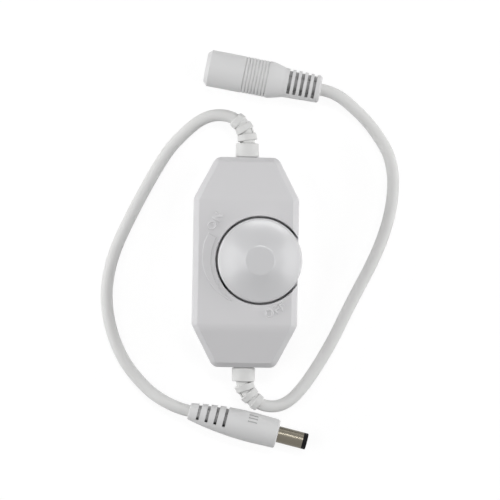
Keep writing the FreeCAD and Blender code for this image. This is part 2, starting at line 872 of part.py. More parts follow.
def relief_web(radius, at_sides):
    """Bridge across one slot: ribs on top and below for side slots, or side walls for top slots."""
    half = relief_slot / 2 + relief_web_overlap
    disc = rod(radius, -half, half)
    if at_sides:
        return one_solid(disc.common(slab(-relief_side_rib, relief_side_rib, -radius, radius, -half, half)))
    return without(disc, [slab(-relief_top_slot, relief_top_slot, -radius, radius, -half, half)])


def strain_relief(route):
    """Collar outside the wall, neck and flange inside it, and slotted rings along the bent cord."""
    inner = Vec(0, relief_start, parting_height)
    edges = [Part.LineSegment(inner, route[0]).toShape()] + route_edges(route[:4])
    face = half_length - relief_start + relief_seat_gap
    collar_end = face + relief_collar_length
    pitch = relief_ring + relief_slot
    tip = collar_end + relief_ring_count * pitch

    def radius_at(distance):
        share = (distance - collar_end) / (tip - collar_end)
        return relief_ring_radius + (relief_tip_radius - relief_ring_radius) * share

    flange_end = face - relief_seat_gap - wall - relief_flange_gap
    collar = relief_ring_shape(relief_collar_length, relief_collar_radius, relief_collar_radius)
    neck = rod(relief_neck_radius, flange_end - face - overlap, overlap)
    flange = rod(relief_flange_radius, -relief_flange, 0)
    pieces = [
        on_route(collar, edges, (face + collar_end) / 2),
        on_route(neck, edges, face),
        on_route(flange, edges, flange_end),
        tube(stretch(edges, flange_end, tip - relief_ring / 2), relief_core_radius),
    ]
    for i in range(relief_ring_count):
        low = collar_end + i * pitch + relief_slot
        high = low + relief_ring
        ring = relief_ring_shape(relief_ring, radius_at(low), radius_at(high))
        pieces.append(on_route(ring, edges, (low + high) / 2))
        web = relief_web(radius_at(low) - relief_web_drop, i % 2 == 0)
        pieces.append(on_route(web, edges, low - relief_slot / 2))
    bore = tube(edges, cord_radius + relief_bore_gap)
    return one_solid(without(joined(pieces), [bore]))


def pad_wire(lane):
    """Wire from the output cord's end to its pad, in lane 0 or 1."""
    x = wire_spread * (2 * lane - 1)
    pad_x = wire_pad_x[lane]
    high = board_top + solder_height + wire_lift
    points = [
        Vec(x, cord_end, parting_height),
        Vec(x, cord_end - wire_straight, parting_height),
        Vec(pad_x, wire_pad_y + wire_pad_lead, high),
        Vec(pad_x, wire_pad_y, high),
        Vec(pad_x, wire_pad_y, board_top + solder_height),
    ]
    return tube(route_edges(points), wire_radius)


# Plug
def smooth_profile(points, curves):
    """Revolved solid from half-section points, where a curve's middle point bends its span."""
    edges = []
    for i, (start, end) in enumerate(zip(points, points[1:] + points[:1])):
        first = Vec(start[0], 0, start[1])
        last = Vec(end[0], 0, end[1])
        if i in curves:
            middle = Vec(curves[i][0], 0, curves[i][1])
            edges.append(Part.Arc(first, middle, last).toShape())
        else:
            edges.append(Part.LineSegment(first, last).toShape())
    return Part.Face(Part.Wire(edges)).revolve(Vec(0, 0, 0), UP, 360)


def comb_slots(first, pitch, count, width, reach, profile):
    """Slots across a tail that end past its axis, with its core and a web inside its edge left."""
    low, high = first - pitch, first + count * pitch
    far = 2 * profile.BoundBox.XMax
    core = rod(tail_core_radius, low, high)
    web = slab(-far, far, -tail_web / 2, tail_web / 2, low, high)
    web = one_solid(web.common(profile))
    slots = []
    for i in range(count):
        middle = first + i * pitch
        cut = slab(-reach, far, -far, far, middle - width / 2, middle + width / 2)
        slots += without(cut, [core, web]).Solids
    return slots


def grip_grooves():
    """Short grooves along both flanks of the plug."""
    grooves = []
    for flank in (0, 180):
        for i in range(grip_groove_count):
            angle = flank + grip_groove_angle + (i - 1) * grip_groove_step
            groove = slab(plug_radius - grip_groove_depth, plug_radius + past, -grip_groove_width / 2,
                          grip_groove_width / 2, grip_start, grip_start + grip_groove_length)
            groove.rotate(Vec(0, 0, 0), UP, angle)
            grooves.append(groove)
    return grooves


def plug_form(inset):
    """Body of the plug, widest before its front, with its outline drawn in by an inset."""
    points = [(0, 0), (plug_rear_radius - inset, 0), (plug_radius - inset, plug_flare_length),
              (plug_front_radius - inset, plug_length), (0, plug_length)]
    return smooth_profile(points, {1: (plug_tail_radius - inset, plug_tail_length)})


def plug_body():
    body = plug_form(0)
    body = body.makeFillet(plug_edge, rims(body, plug_front_radius, plug_length))
    body = body.makeFillet(plug_rear_edge, rims(body, plug_rear_radius, 0))
    slots = comb_slots(plug_slot_first, plug_slot_pitch, plug_slot_count, plug_slot, plug_slot_reach,
                       plug_form(tail_web_edge))
    socket_low = plug_length - barrel_anchor - metal_gap
    socket = rod(barrel_radius - barrel_step + metal_gap, socket_low, plug_length + past)
    return one_solid(without(body, slots + grip_grooves() + [socket]))


def plug_barrel():
    """Metal sleeve with a shoulder, stepped down where it is held in the plug."""
    low = plug_length - barrel_anchor
    shoulder = plug_length + barrel_shoulder_gap
    step = shoulder + barrel_wall
    high = plug_length + barrel_length - tip_length
    inner = barrel_radius - barrel_wall
    return turned([(inner - barrel_step, low), (barrel_radius - barrel_step, low),
                   (barrel_radius - barrel_step, shoulder), (barrel_radius, shoulder),
                   (barrel_radius, high), (inner, high), (inner, step), (inner - barrel_step, step)])


def plug_insulator():
    """Sleeve inside the barrel, stepped like it, with a collar that forms the tip."""
    inner = pin_bore_radius + pin_contact_wall + metal_gap
    outer = barrel_radius - barrel_wall - metal_gap
    low = plug_length - barrel_anchor
    step = plug_length + barrel_shoulder_gap + barrel_wall + metal_gap
    rear = outer - barrel_step
    shoulder = plug_length + barrel_length - tip_length
    top = plug_length + barrel_length
    tip_radius = barrel_radius - metal_gap
    sleeve = turned([(inner, low), (rear, low), (rear, step), (outer, step), (outer, shoulder),
                     (tip_radius, shoulder), (tip_radius, top), (inner, top)])
    return sleeve.makeFillet(tip_round, rims(sleeve, tip_radius, top))


def plug_contact():
    """Inner contact with a blind bore for the mating pin."""
    top = plug_length + barrel_length - tip_recess
    low = plug_length - barrel_anchor
    outer = pin_bore_radius + pin_contact_wall
    return without(rod(outer, low, top), [rod(pin_bore_radius, top - pin_bore_depth, top + past)])


# Jack
def jack_profile():
    shoulder_end = jack_body_length + jack_shoulder_length
    points = [(0, 0), (jack_radius - jack_edge, 0), (jack_radius, jack_edge)]
    for i in range(jack_groove_count):
        middle = jack_groove_first + i * jack_groove_pitch
        half = jack_groove_width / 2
        floor = jack_radius - jack_groove_depth
        points += [(jack_radius, middle - half), (floor, middle - jack_groove_floor),
                   (floor, middle + jack_groove_floor),
                   (jack_radius, middle + half)]
    curve = len(points)
    points += [(jack_radius, jack_body_length), (jack_tail_radius, shoulder_end),
               (jack_end_radius, jack_length), (0, jack_length)]
    mean_radius = (jack_radius + jack_tail_radius) / 2
    middle = (mean_radius + jack_shoulder_bulge, (jack_body_length + shoulder_end) / 2)
    return points, {curve: middle}


def jack_body():
    points, curves = jack_profile()
    body = smooth_profile(points, curves)
    body = body.makeFillet(jack_end_round, rims(body, jack_end_radius, jack_length))
    inner = turned([(0, jack_body_length), (jack_tail_radius - tail_web_edge, jack_body_length),
                    (jack_end_radius - tail_web_edge, jack_length), (0, jack_length)])
    slots = comb_slots(jack_slot_first, jack_slot_pitch, jack_slot_count, jack_slot, jack_slot_reach, inner)
    mouth = rod(socket_radius, -past, socket_lip + past)
    seat = rod(insert_radius + metal_gap, socket_lip, socket_depth + insert_back)
    return one_solid(without(without(body, slots), [joined([mouth, seat])]))


def spring_pocket(slack):
    """Leaf spring along the socket's side, or the pocket for it when given slack."""
    half = spring_width / 2 + slack
    return slab(spring_reach - slack, spring_reach + spring_thickness + slack, -half, half,
                spring_start - slack, socket_depth)


def jack_insert():
    """Insulating cup that lines the socket and holds the pin and the spring."""
    cup = rod(insert_radius, socket_lip, socket_depth + insert_back)
    bore = rod(socket_radius, 0, socket_depth)
    pin_hole = rod(centre_pin_root + metal_gap, socket_depth - past, socket_depth + insert_back + past)
    return one_solid(without(cup, [bore, pin_hole, spring_pocket(spring_slack)]))


def centre_pin():
    """Pin with a rounded end and a shoulder, stepped down where it is held in the insert."""
    shoulder = socket_depth - centre_pin_shoulder_gap
    pin = joined([rod(centre_pin_radius, centre_pin_recess, shoulder),
                  rod(centre_pin_root, shoulder - overlap, socket_depth + insert_back)])
    return pin.makeFillet(centre_pin_round, rims(pin, centre_pin_radius, centre_pin_recess))


def cord_route(side, near, far, ends):
    """Points of a cord that leaves the housing along +Y or -Y and ends at its connector."""
    start = [Vec(0, side * cord_end, parting_height)]
    bends = [Vec(x, side * (cord_end + y), z) for x, y, z in near]
    return start + bends + [Vec(*point) for point in far] + ends


def output_route():
    """The output cord's points, which end at the plug's rear."""
    return cord_route(1, output_near, output_far, [plug_rear])


def input_route():
    """The input cord's points, which end at the jack's tail."""
    along = heading(jack_angle)
    ends = [jack_face + along * (jack_length + jack_straight), jack_face + along * jack_length]
    return cord_route(-1, input_near, input_far, ends)


def build():
    """All the pieces by node name, each a list of solids in place."""
    output_points = output_route()
    input_points = input_route()
    relief_out = strain_relief(output_points)
    turned_input = [Vec(-point.x, -point.y, point.z) for point in input_points]
    relief_in = half_turn(strain_relief(turned_input))
    out_wires = [pad_wire(lane) for lane in (0, 1)]
    pads = [solder_joint(x, wire_pad_y) for x in wire_pad_x]
    plug_way = heading(plug_angle)
    jack_way = heading(jack_angle)

    def on_plug(shape):
        return laid(shape, plug_rear, plug_way)

    def on_jack(shape):
        return laid(shape, jack_face, jack_way)

    return {
        "upper_shell": [upper_shell()],
        "lower_shell": [lower_shell()],
        "housing_screws": [housing_screw(place) for place in screw_places],
        "circuit_board": [circuit_board()],
        "pot_base": [pot_base()],
        "resistive_track": [resistive_track()],
        "pot_casing": [pot_casing()],
        "pot_bushing": [pot_bushing()],
        "pot_terminals": pot_pins(pot_pin_radius, board_top),
        "power_transistor": [transistor_body()],
        "transistor_leads": transistor_metal(),
        "timer_chip": [timer_body()],
        "timer_leads": [timer_lead(side, index) for side in (-1, 1) for index in range(4)],
        "electrolytic_capacitor": [capacitor()],
        "capacitor_leads": capacitor_leads(capacitor_lead_radius),
        "chip_resistors": [block(place, chip_resistor_size, board_top) for place in chip_resistor_places],
        "chip_capacitors": [block(place, chip_capacitor_size, board_top) for place in chip_capacitor_places],
        "protection_diode": [diode_body()],
        "diode_contacts": diode_contacts(),
        "solder_joints": pads + [half_turn(pad) for pad in pads],
        "output_wire_red": [out_wires[0]],
        "output_wire_black": [out_wires[1]],
        "input_wire_red": [half_turn(out_wires[0])],
        "input_wire_black": [half_turn(out_wires[1])],
        "output_strain_relief": [relief_out],
        "input_strain_relief": [relief_in],
        "output_cord": [tube(route_edges(output_points), cord_radius)],
        "input_cord": [tube(route_edges(input_points), cord_radius)],
        "plug_body": [on_plug(plug_body())],
        "plug_barrel": [on_plug(plug_barrel())],
        "plug_insulator": [on_plug(plug_insulator())],
        "plug_inner_contact": [on_plug(plug_contact())],
        "jack_body": [on_jack(jack_body())],
        "jack_insert": [on_jack(jack_insert())],
        "jack_centre_pin": [on_jack(centre_pin())],
        "jack_spring": [on_jack(spring_pocket(0))],
        "dimmer_knob": [knob()],
        "pot_shaft": [pot_shaft()],
        "wiper_contact": [wiper()],
    }


os.makedirs("parts", exist_ok=True)
for name, solids in build().items():
    shape = solids[0] if len(solids) == 1 else Part.makeCompound(solids)
    shape.exportStep("parts/" + name + ".step")
    state = "valid" if shape.isValid() else "NOT VALID"
    print(name, len(solids), "solids", state, round(shape.Volume, 2), "mm3")
for name, route in (("output_cord", output_route()), ("input_cord", input_route())):
    length = sum(edge.Length for edge in route_edges(route))
    volume = length * math.pi * cord_radius**2
    radii = [round(radius, 1) for radius in bend_radii(route)]
    print(name, "length", round(length, 1), "section times length", round(volume, 1), "bend radii", radii)
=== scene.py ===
"""Looks of a rotary cord dimmer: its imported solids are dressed, lit and seen from above."""

import json
import math

import bmesh
import bpy
from mathutils import Matrix, Vector


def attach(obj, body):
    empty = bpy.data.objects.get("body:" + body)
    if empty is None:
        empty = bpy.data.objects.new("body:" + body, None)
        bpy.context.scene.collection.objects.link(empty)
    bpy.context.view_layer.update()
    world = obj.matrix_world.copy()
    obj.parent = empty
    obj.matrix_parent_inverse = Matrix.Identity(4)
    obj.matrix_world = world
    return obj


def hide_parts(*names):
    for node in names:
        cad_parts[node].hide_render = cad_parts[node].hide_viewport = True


bl_info = {
    "name": "Rotary Cord Dimmer",
    "version": (1, 0, 0),
    "blender": (4, 5, 0),
    "location": "3D View > Sidebar > Dimmer",
    "description": "Finishes, cords, words and studio of a rotary cord dimmer",
    "category": "Object",
}

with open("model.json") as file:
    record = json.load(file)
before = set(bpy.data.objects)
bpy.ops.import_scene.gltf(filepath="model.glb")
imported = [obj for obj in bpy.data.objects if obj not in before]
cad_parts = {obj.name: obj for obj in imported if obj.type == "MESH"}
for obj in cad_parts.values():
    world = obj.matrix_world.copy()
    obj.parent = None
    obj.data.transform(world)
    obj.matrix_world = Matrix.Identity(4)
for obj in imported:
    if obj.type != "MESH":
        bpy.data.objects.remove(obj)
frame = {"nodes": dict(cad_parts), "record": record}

MM = 0.001
MERGE_DISTANCE = 0.001 * MM
NODE_BODY = {node: body for body, nodes in frame["record"]["behaviour"]["bodies"].items() for node in nodes}
NODE_SLOT = {part["node"]: part["material_slot"] for part in frame["record"]["subparts"]}

# Places on the solids that the words, the wedge and the capacitor's finish are set by, in millimetres
KNOB_PLACE = (4.8, 0.75)
ROOF_HEIGHT = 18.6
WEDGE_RISE = 0.3
CAPACITOR_TOP = 11.0
CAPACITOR_BARE_TOP = 0.5
CAPACITOR_STRIPE_TO = -7.4

# How far the wedge's sides slope in from its outline, as a share of its rise
WEDGE_SLOPE = 0.85

# Words on the roof: piece, text, distance from the knob's axis in millimetres, direction and turn in degrees
WORDS = (("word_on", "ON", 19.5, 140.1, 58.0), ("word_off", "OFF", 17.3, -72.5, 28.0))

# Height of the capitals as a share of the font's size, and the letters' spacing
CAPITAL_SHARE = 0.7
LETTER_SPACING = 1.1

# Centrelines of the cords, in millimetres
OUTPUT_ROUTE = (
    (0, 34.6, 7), (0, 39.2, 7), (0, 43.6, 7), (-5.3, 48.9, 7), (-14.3, 48.7, 5.2), (-22.9, 41.1, 3.4),
    (-28.0, 34.8, 2.05), (-37.2, 17.8, 2.05), (-45.2, 0.1, 2.05), (-46.7, -15.3, 2.05),
    (-42.1, -30.9, 2.05), (-33.5, -42.1, 2.05), (-24.0, -48.35, 5.05), (-17.88, -49.84, 5.05),
)
INPUT_ROUTE = (
    (0, -34.6, 7), (0, -38.4, 7), (0, -41.9, 7), (5.9, -47.9, 7), (14.1, -47.6, 5.2), (21.2, -39.9, 3.4),
    (29.1, -26.7, 2.05), (35.4, -13.0, 2.05), (44.3, 4.2, 2.05), (48.9, 19.5, 2.05), (48.9, 34.3, 2.05),
    (42.3, 45.2, 2.05), (35.1, 52.3, 4.2), (28.461, 57.114, 6.1), (24.029, 57.895, 6.1),
)

# Lengths of the cords, in metres
OUTPUT_LENGTH = 0.146
INPUT_LENGTH = 0.150

# Reach of the shade painted into the colour of narrow grooves, and how much lighter than full shade they
# stay
PAINTED_SHADE_REACH = 1.0 * MM
PAINTED_SHADE_LIGHT = 1.4
BLACK = (0.0, 0.0, 0.0)

# Studio: rays that see the floor and the surroundings as white, the floor, the lamps and the camera
SEEN_RAYS = ("Is Camera Ray", "Is Glossy Ray", "Is Transmission Ray")
FLOOR_SIZE = 6.0
FLOOR_DROP = 0.05 * MM
FLOOR_GLOW = 1.1
FLOOR_GLOW_SHARE = 0.8
LAMPS_AIM = (0.0, 0.0, 0.01)
LAMPS_DISTANCE = 1.0
CAMERA_OVER = (1.46 * MM, 4.13 * MM)


# Sizes and colours that a user would change
class DimmerSizes(bpy.types.PropertyGroup):
    """Sizes of the pieces that are made here."""

    cord_diameter: bpy.props.FloatProperty(
        name="Cord diameter", description="Outside diameter of both cords", default=4.0 * MM, unit="LENGTH")
    letter_height: bpy.props.FloatProperty(
        name="Letter height", description="Height of the raised words", default=2.7 * MM, unit="LENGTH")
    letter_rise: bpy.props.FloatProperty(
        name="Letter rise", description="How far the words stand above the roof", default=0.36 * MM,
        unit="LENGTH")
    smooth_angle: bpy.props.FloatProperty(
        name="Smooth angle", description="Edges flatter than this are shaded smooth",
        default=math.radians(32), subtype="ANGLE")


class DimmerColours(bpy.types.PropertyGroup):
    """Colours of the finishes."""

    shell: bpy.props.FloatVectorProperty(
        name="Shell", description="Moulded plastic of the housing", default=(0.735, 0.73, 0.742),
        subtype="COLOR", min=0, max=1)
    knob: bpy.props.FloatVectorProperty(
        name="Knob", description="Moulded plastic of the knob", default=(0.655, 0.655, 0.667),
        subtype="COLOR", min=0, max=1)
    cord: bpy.props.FloatVectorProperty(
        name="Cord", description="Jacket of the cords", default=(0.77, 0.77, 0.762), subtype="COLOR",
        min=0, max=1)
    connector: bpy.props.FloatVectorProperty(
        name="Connector", description="Moulding of the plug and the jack", default=(0.775, 0.775, 0.777),
        subtype="COLOR", min=0, max=1)
    nickel: bpy.props.FloatVectorProperty(
        name="Nickel", description="Plating of the barrel", default=(0.175, 0.16, 0.13), subtype="COLOR",
        min=0, max=1)


class DimmerStudio(bpy.types.PropertyGroup):
    """Camera and lamps."""

    camera_height: bpy.props.FloatProperty(
        name="Camera height", description="Height of the camera above the floor", default=0.93,
        unit="LENGTH")
    camera_turn: bpy.props.FloatProperty(
        name="Camera turn", description="Turn of the camera about the vertical",
        default=math.radians(1.0), subtype="ANGLE")
    lens: bpy.props.FloatProperty(
        name="Lens", description="Focal length of the camera in millimetres", default=200.0)
    high_light: bpy.props.FloatProperty(
        name="High light", description="Power of each soft box above the sides, in watts", default=2.35)
    low_light: bpy.props.FloatProperty(
        name="Low light", description="Power of each low strip beside the object, in watts", default=4.9)
    left_light: bpy.props.FloatProperty(
        name="Left light", description="Power of the soft box at the left, in watts", default=0.8)
    far_light: bpy.props.FloatProperty(
        name="Far light", description="Power of the low strip beyond the object, in watts", default=1.0)
    top_light: bpy.props.FloatProperty(
        name="Top light", description="Power of the soft box high beyond the object, in watts", default=2.2)
    ambient: bpy.props.FloatProperty(
        name="Ambient", description="Strength of the even light from all round", default=0.0)


# Shader arithmetic
class Signal:
    """Output of a material's node, which takes part in Python arithmetic."""

    def __init__(self, finish, socket):
        self.finish = finish
        self.socket = socket

    def combine(self, operation, *values):
        """Result of a Math node on these signals or numbers."""
        return self.finish.node("ShaderNodeMath", {"operation": operation}, dict(enumerate(values)))

    def __add__(self, other):
        return self.combine("ADD", self, other)

    __radd__ = __add__

    def __mul__(self, other):
        return self.combine("MULTIPLY", self, other)

    __rmul__ = __mul__

    def __gt__(self, other):
        return self.combine("GREATER_THAN", self, other)

    def __lt__(self, other):
        return self.combine("LESS_THAN", self, other)


class Finish:
    """Material under construction, which takes over the plain one of its slot."""

    def __init__(self, name, colour, roughness, constants=None):
        self.material = bpy.data.materials.get(name) or bpy.data.materials.new(name)
        self.material.use_nodes = True
        self.tree = self.material.node_tree
        self.tree.nodes.clear()
        self.shader = self.tree.nodes.new("ShaderNodeBsdfPrincipled")
        self.end = self.tree.nodes.new("ShaderNodeOutputMaterial")
        self.tree.links.new(self.shader.outputs["BSDF"], self.end.inputs["Surface"])
        self.feed("Base Color", (*colour, 1.0))
        self.feed("Roughness", roughness)
        for socket, value in (constants or {}).items():
            self.feed(socket, value)

    def feed(self, socket, value):
        """Sets a socket of the shader, or links it to a signal."""
        self.connect(self.shader.inputs[socket], value)

    def connect(self, socket, value):
        """Sets a socket of any node, or links it to a signal."""
        if isinstance(value, Signal):
            self.tree.links.new(value.socket, socket)
        else:
            socket.default_value = value

    def node(self, kind, settings=None, inputs=None, output=0):
        """Output of a new node with these settings and inputs."""
        made = self.tree.nodes.new(kind)
        for name, value in (settings or {}).items():
            setattr(made, name, value)
        for key, value in (inputs or {}).items():
            self.connect(made.inputs[key], value)
        return Signal(self, made.outputs[output])

    def place(self):
        """The piece's own coordinates, in metres."""
        return self.node("ShaderNodeTexCoord", output="Object")

    def axis(self, index):
        """One of the piece's own coordinates, counted from 0."""
        return self.node("ShaderNodeSeparateXYZ", inputs={0: self.place()}, output=index)

    def noise(self, size, detail=2.0):
        """Cloudy value from 0 to 1, whose spots are about this large."""
        return self.node("ShaderNodeTexNoise", inputs={
            "Vector": self.place(), "Scale": 1.0 / size, "Detail": detail}, output="Fac")

    def blend(self, mask, low, high):
        """Colour that goes from low to high with the mask, where either may be a signal."""
        ends = [end if isinstance(end, Signal) else (*end, 1.0) for end in (low, high)]
        return self.node("ShaderNodeMix", {"data_type": "RGBA"}, {
            "Factor": mask, 6: ends[0], 7: ends[1]}, output=2)

    def grain(self, size, depth):
        """Fine relief of a moulded or cast surface."""
        bump = self.node("ShaderNodeBump", inputs={
            "Height": self.noise(size), "Strength": 1.0, "Distance": depth}, output="Normal")
        self.feed("Normal", bump)


# Finishes
def moulded(name, colour, roughness, grain=0.25 * MM, depth=0.004 * MM, gloss=0.5, painted_shade_reach=None):
    """Moulded plastic with a faint spark-eroded texture and slight unevenness of gloss.

    Where a reach is given, shade is painted into the colour of grooves narrower than it.
    """
    finish = Finish(name, colour, roughness, {"IOR": 1.5, "Specular IOR Level": gloss})
    if painted_shade_reach:
        # Painted shade: the colour darkens where nearby surfaces hem the surface in, as in the grooves and
        # slots of the reliefs and connectors
        openness = finish.node("ShaderNodeAmbientOcclusion", {"samples": 8, "only_local": True},
                               {"Distance": painted_shade_reach}, output="AO")
        finish.feed("Base Color", finish.blend(openness * PAINTED_SHADE_LIGHT, BLACK, colour))
    uneven = finish.noise(6 * MM, 3.0)
    finish.feed("Roughness", roughness * 0.95 + uneven * roughness * 0.1)
    finish.grain(grain, depth)


def plated(name, colour, roughness):
    """Metal with faint wear in its gloss."""
    finish = Finish(name, colour, roughness, {"Metallic": 1.0})
    wear = finish.noise(1.5 * MM, 4.0)
    finish.feed("Roughness", roughness + wear * roughness * 0.6)


def printed_board(colour=(0.02, 0.13, 0.06)):
    """Green solder mask over a faint pattern of tracks."""
    finish = Finish("board_green", colour, 0.35, {"IOR": 1.5})
    tracks = finish.noise(3 * MM, 1.0) > 0.55
    over_tracks = tuple(1.5 * part for part in colour)
    finish.feed("Base Color", finish.blend(tracks, colour, over_tracks))


def capacitor_sleeve(sleeve=(0.02, 0.03, 0.06), stripe=(0.55, 0.56, 0.58), metal=(0.7, 0.7, 0.71)):
    """Dark sleeve with a pale stripe, and a bare metal top."""
    finish = Finish("aluminium_can", sleeve, 0.3)
    bare = finish.axis(2) > (CAPACITOR_TOP - CAPACITOR_BARE_TOP) * MM
    striped = finish.blend(finish.axis(0) < CAPACITOR_STRIPE_TO * MM, sleeve, stripe)
    finish.feed("Base Color", finish.blend(bare, striped, metal))
    finish.feed("Metallic", bare)


def make_finishes(colours):
    """Makes the material of every slot of the part."""
    moulded("white_shell", colours.shell, 0.55, gloss=0.2)
    moulded("knob_white", colours.knob, 0.26, grain=0.15 * MM, depth=0.0003 * MM, gloss=0.85)
    moulded("white_relief", colours.cord, 0.55, gloss=0.2, painted_shade_reach=PAINTED_SHADE_REACH)
    moulded("white_cord", colours.cord, 0.5, grain=0.8 * MM, depth=0.003 * MM, gloss=0.25)
    moulded("white_moulding", colours.connector, 0.55, gloss=0.2, painted_shade_reach=PAINTED_SHADE_REACH)
    plated("nickel", colours.nickel, 0.22)
    plated("contact_metal", (0.80, 0.62, 0.33), 0.22)
    plated("plated_steel", (0.62, 0.62, 0.62), 0.3)
    plated("zinc_alloy", (0.5, 0.5, 0.5), 0.42)
    plated("tinned_metal", (0.72, 0.72, 0.71), 0.28)
    capacitor_sleeve()
    printed_board()
    moulded("phenolic_brown", (0.22, 0.12, 0.05), 0.5)
    moulded("carbon_black", (0.015, 0.015, 0.016), 0.6)
    moulded("black_moulding", (0.008, 0.008, 0.009), 0.5, gloss=0.08)
    moulded("ceramic_tan", (0.45, 0.32, 0.18), 0.4)
    moulded("wire_red", (0.5, 0.02, 0.02), 0.4)
    moulded("wire_black", (0.02, 0.02, 0.02), 0.4)
    moulded("shaft_plastic", (0.72, 0.72, 0.68), 0.45)


def finish_of(slot):
    """The material of a slot, which the finishes' operator has made."""
    return bpy.data.materials[slot]


# Mesh pieces
def finished(work, name, slot, body):
    """Puts a bmesh in the scene as a piece with its finish, riding on its body."""
    work.normal_update()
    for face in work.faces:
        face.smooth = True
    for edge in work.edges:
        edge.smooth = edge.calc_face_angle(math.pi) < bpy.context.scene.dimmer_sizes.smooth_angle
    mesh = bpy.data.meshes.new(name)
    work.to_mesh(mesh)
    work.free()
    mesh.materials.append(finish_of(slot))
    piece = bpy.data.objects.new(name, mesh)
    bpy.context.scene.collection.objects.link(piece)
    weights = piece.modifiers.new("Even normals", "WEIGHTED_NORMAL")
    weights.keep_sharp = True
    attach(piece, body)
    return piece


def dressed(node, worked=None):
    """Smooth copy of a node's solid, worked on if asked and in its finish, that stands for the node."""
    work = bmesh.new()
    work.from_mesh(frame["nodes"][node].data)
    bmesh.ops.remove_doubles(work, verts=work.verts, dist=MERGE_DISTANCE)
    if worked:
        worked(work)
    piece = finished(work, node + "_dressed", NODE_SLOT[node], NODE_BODY[node])
    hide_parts(node)


class NodeDresser:
    """What the operators that dress a group of nodes have in common."""

    nodes = ()

    def execute(self, context):
        for node in self.nodes:
            dressed(node)
        return {"FINISHED"}


class DIMMER_OT_finishes(bpy.types.Operator):
    """Make the material of every slot"""

    bl_idname = "dimmer.finishes"
    bl_label = "Finishes"

    def execute(self, context):
        make_finishes(context.scene.dimmer_colours)
        return {"FINISHED"}


def soft_wedge(work):
    """Slopes the sides of the wedge beside the knob, which stands on the roof."""
    top = (ROOF_HEIGHT + WEDGE_RISE) * MM
    level_within = 0.01 * MM
    flat_within = math.radians(1)
    raised = {vert for vert in work.verts if abs(vert.co.z - top) < level_within}
    level = [edge for edge in work.edges if set(edge.verts) <= raised]
    inside = [edge for edge in level if edge.calc_face_angle(math.pi) < flat_within]
    bmesh.ops.dissolve_edges(work, edges=inside, use_verts=False)
    rim = [edge for edge in work.edges if set(edge.verts) <= raised]
    bmesh.ops.bevel(work, geom=rim, offset=WEDGE_SLOPE * WEDGE_RISE * MM, offset_type="OFFSET",
                    segments=3, profile=0.5, affect="EDGES", clamp_overlap=True, material=-1)
    bmesh.ops.triangulate(work, faces=[face for face in work.faces if len(face.verts) > 4])


class DIMMER_OT_housing(NodeDresser, bpy.types.Operator):
    """Dress both shells and the screws that close them"""

    bl_idname = "dimmer.housing"
    bl_label = "Housing"
    nodes = ("lower_shell", "housing_screws")

    def execute(self, context):
        dressed("upper_shell", soft_wedge)
        return super().execute(context)


class DIMMER_OT_knob(NodeDresser, bpy.types.Operator):
    """Dress the knob"""

    bl_idname = "dimmer.knob"
    bl_label = "Knob"
    nodes = ("dimmer_knob",)


class DIMMER_OT_potentiometer(NodeDresser, bpy.types.Operator):
    """Dress the potentiometer under the knob"""

    bl_idname = "dimmer.potentiometer"
    bl_label = "Potentiometer"
    nodes = ("pot_base", "resistive_track", "pot_casing", "pot_bushing", "pot_terminals", "pot_shaft",
             "wiper_contact")


class DIMMER_OT_electronics(NodeDresser, bpy.types.Operator):
    """Dress the circuit board, what is soldered to it and the wires"""

    bl_idname = "dimmer.electronics"
    bl_label = "Electronics"
    nodes = ("circuit_board", "power_transistor", "transistor_leads", "timer_chip", "timer_leads",
             "electrolytic_capacitor", "capacitor_leads", "chip_resistors", "chip_capacitors",
             "protection_diode", "diode_contacts", "solder_joints", "output_wire_red",
             "output_wire_black", "input_wire_red", "input_wire_black")


class DIMMER_OT_reliefs(NodeDresser, bpy.types.Operator):
    """Dress the slotted bend reliefs"""

    bl_idname = "dimmer.reliefs"
    bl_label = "Bend Reliefs"
    nodes = ("output_strain_relief", "input_strain_relief")


class DIMMER_OT_plug(NodeDresser, bpy.types.Operator):
    """Dress the plug on the output cord"""

    bl_idname = "dimmer.plug"
    bl_label = "Plug"
    nodes = ("plug_body", "plug_barrel", "plug_insulator", "plug_inner_contact")


class DIMMER_OT_jack(NodeDresser, bpy.types.Operator):
    """Dress the jack on the input cord"""

    bl_idname = "dimmer.jack"
    bl_label = "Jack"
    nodes = ("jack_body", "jack_insert", "jack_centre_pin", "jack_spring")


# Cords
def cord_piece(node, route, radius):
    """Smooth round cord along a route of points in millimetres, which stands for its node."""
    name = node + "_laid"
    line = bpy.data.curves.new(name, "CURVE")
    line.dimensions = "3D"
    line.resolution_u = 16
    line.bevel_depth = radius
    line.bevel_resolution = 8
    line.use_fill_caps = True
    spline = line.splines.new("NURBS")
    spline.points.add(len(route) - 1)
    for point, place in zip(spline.points, route):
        point.co = (*(Vector(place) * MM), 1.0)
    spline.order_u = 3
    spline.use_endpoint_u = True
    line.materials.append(finish_of("white_cord"))
    piece = bpy.data.objects.new(name, line)
    bpy.context.scene.collection.objects.link(piece)
    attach(piece, NODE_BODY[node])
    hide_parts(node)
    return piece


class DIMMER_OT_cords(bpy.types.Operator):
    """Lay both cords from the housing to the plug and the jack"""

    bl_idname = "dimmer.cords"
    bl_label = "Cords"

    def execute(self, context):
        diameter = context.scene.dimmer_sizes.cord_diameter
        for node, route, length, far_end, connector in (
                ("output_cord", OUTPUT_ROUTE, OUTPUT_LENGTH, "plug", DIMMER_OT_plug),
                ("input_cord", INPUT_ROUTE, INPUT_LENGTH, "connector", DIMMER_OT_jack)):
            laid = cord_piece(node, route, diameter / 2)
        return {"FINISHED"}


# Words
def roof_under(centre):
    """Place and outward direction of the roof above a centre in millimetres."""
    well_above = Vector((*centre, 2 * ROOF_HEIGHT)) * MM
    shell = bpy.data.objects["upper_shell_dressed"]
    found, spot, normal, _ = shell.ray_cast(well_above, (0.0, 0.0, -1.0))
    if not found:
        raise RuntimeError("no roof lies under this word")
    return spot, normal


